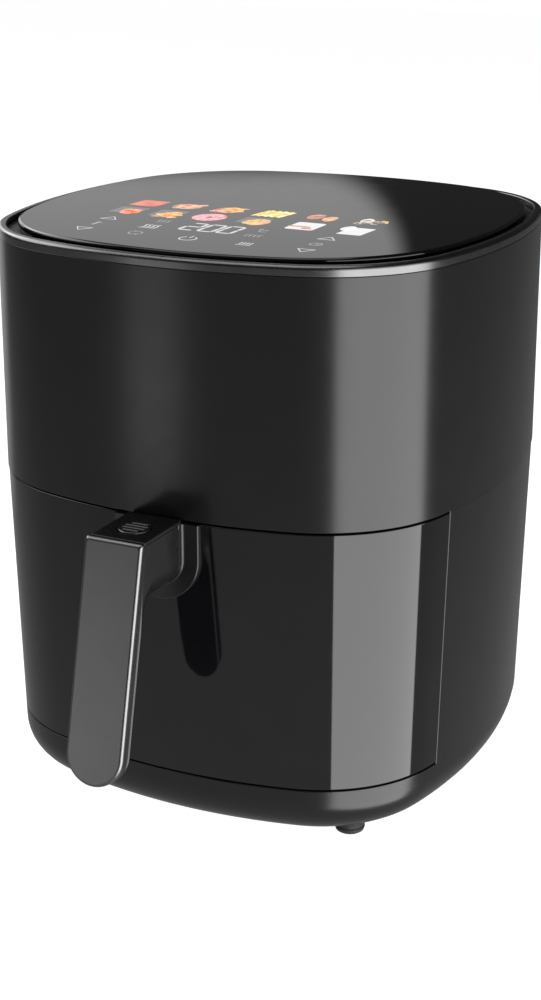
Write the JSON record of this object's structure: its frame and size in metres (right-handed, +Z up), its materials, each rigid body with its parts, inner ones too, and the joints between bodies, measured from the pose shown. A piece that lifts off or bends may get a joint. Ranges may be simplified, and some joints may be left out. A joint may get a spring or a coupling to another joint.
{
  "type": "air fryer",
  "caption": "Square-bodied digital air fryer with a glass touch top, a pull-out drawer with pan and basket, and a handle with a release button.",
  "frame": {"origin": "under the middle of the whole outline, handle and rear outlet included, at the surface the feet stand on", "axes": "+Z up; -Y is the front, where the handle and the drawer are; +X is to the right of a person facing the front"},
  "size_m": [0.272, 0.3442, 0.312],
  "materials": {
    "shell_black": "satin black moulded plastic, very fine grain",
    "base_black": "satin black moulded plastic, very fine grain",
    "trim_metal": "dark polished metallic trim",
    "frame_black": "black moulded plastic",
    "panel_glass": "polished black-backed glass",
    "display_dark": "dark display module",
    "board_green": "green circuit board",
    "rubber_black": "black rubber",
    "silicone_grey": "dark grey silicone",
    "sheet_steel": "plain sheet steel",
    "reflector_steel": "bright stainless steel",
    "element_metal": "heat-darkened steel tube",
    "guard_wire": "plated wire",
    "ceramic": "off-white ceramic",
    "motor_steel": "laminated and pressed steel",
    "copper": "copper-coloured rotor",
    "bright_steel": "zinc-plated steel",
    "fan_aluminium": "pressed aluminium",
    "fan_plastic": "dark moulded plastic",
    "part_plastic": "dark moulded plastic",
    "gloss_black": "piano-black polished plastic",
    "nonstick": "dark grey non-stick coating on steel",
    "grip_black": "satin black moulded plastic",
    "handle_metal": "fine satin grey metallic plate with a bright bevel",
    "button_black": "semi-gloss black plastic"
  },
  "bodies": {
    "housing": {"upper_shell": "shell_black", "lower_shell": "base_black", "base_cover": "base_black", "rubber_feet": "rubber_black", "trim_ring": "trim_metal", "top_frame": "frame_black", "glass_top": "panel_glass", "display_module": "display_dark", "display_board": "board_green", "air_outlet": "base_black", "cord_gland": "rubber_black", "opening_frame": "base_black", "chamber_liner": "sheet_steel", "slide_rails": "part_plastic", "ceiling_plate": "sheet_steel", "reflector_dome": "reflector_steel", "heating_element": "element_metal", "element_bushings": "ceramic", "element_guard": "guard_wire", "temperature_probe": "reflector_steel", "thermal_cutoff": "ceramic", "motor_bracket": "sheet_steel", "motor_stator": "motor_steel", "motor_end_bells": "motor_steel", "motor_bearings": "bright_steel", "electronics_tray": "frame_black", "power_board": "board_green", "board_parts": "part_plastic", "drawer_switch": "part_plastic", "shell_screws": "bright_steel", "base_screws": "bright_steel", "motor_screws": "bright_steel"},
    "rotor": {"motor_rotor": "copper", "motor_shaft": "bright_steel", "convection_fan": "fan_aluminium", "fan_nut": "bright_steel", "cooling_fan": "fan_plastic"},
    "drawer": {"drawer_front": "gloss_black", "drawer_frame": "base_black", "handle_collar": "frame_black", "pan": "nonstick", "basket": "nonstick", "basket_bumpers": "silicone_grey", "basket_bracket": "sheet_steel", "handle_grip": "grip_black", "handle_plate": "handle_metal", "arm_cover": "grip_black", "button_spring": "bright_steel", "latch_pin": "bright_steel", "handle_screws": "bright_steel"},
    "button": {"release_button": "button_black"},
    "latch": {"latch_lever": "bright_steel"},
    "switch_arm": {"switch_lever": "bright_steel"}
  },
  "joints": [
    {"name": "drawer_slide", "type": "slide", "parent": "housing", "child": "drawer", "axis": [0, -1, 0], "range_m": [0, 0.2]},
    {"name": "fan_spin", "type": "hinge", "parent": "housing", "child": "rotor", "pos_m": [0, 0.03314, 0.22], "axis": [0, 0, 1], "continuous": true},
    {"name": "button_press", "type": "slide", "parent": "drawer", "child": "button", "axis": [0, 0, -1], "range_m": [0, 0.0032], "stiffness_N_per_m": 600, "springref_m": -0.002},
    {"name": "latch_turn", "type": "hinge", "parent": "drawer", "child": "latch", "pos_m": [0, -0.09686, 0.158], "axis": [1, 0, 0], "range_deg": [0, 8.8]},
    {"name": "switch_turn", "type": "hinge", "parent": "housing", "child": "switch_arm", "pos_m": [0, 0.15264, 0.151], "axis": [1, 0, 0], "range_deg": [0, 10]}
  ],
  "couplings": [
    {"joint": "latch_turn", "follows": "button_press", "rad_per_m": 47.997},
    {"joint": "switch_turn", "follows": "drawer_slide", "rad_per_m": 0.87267}
  ]
}
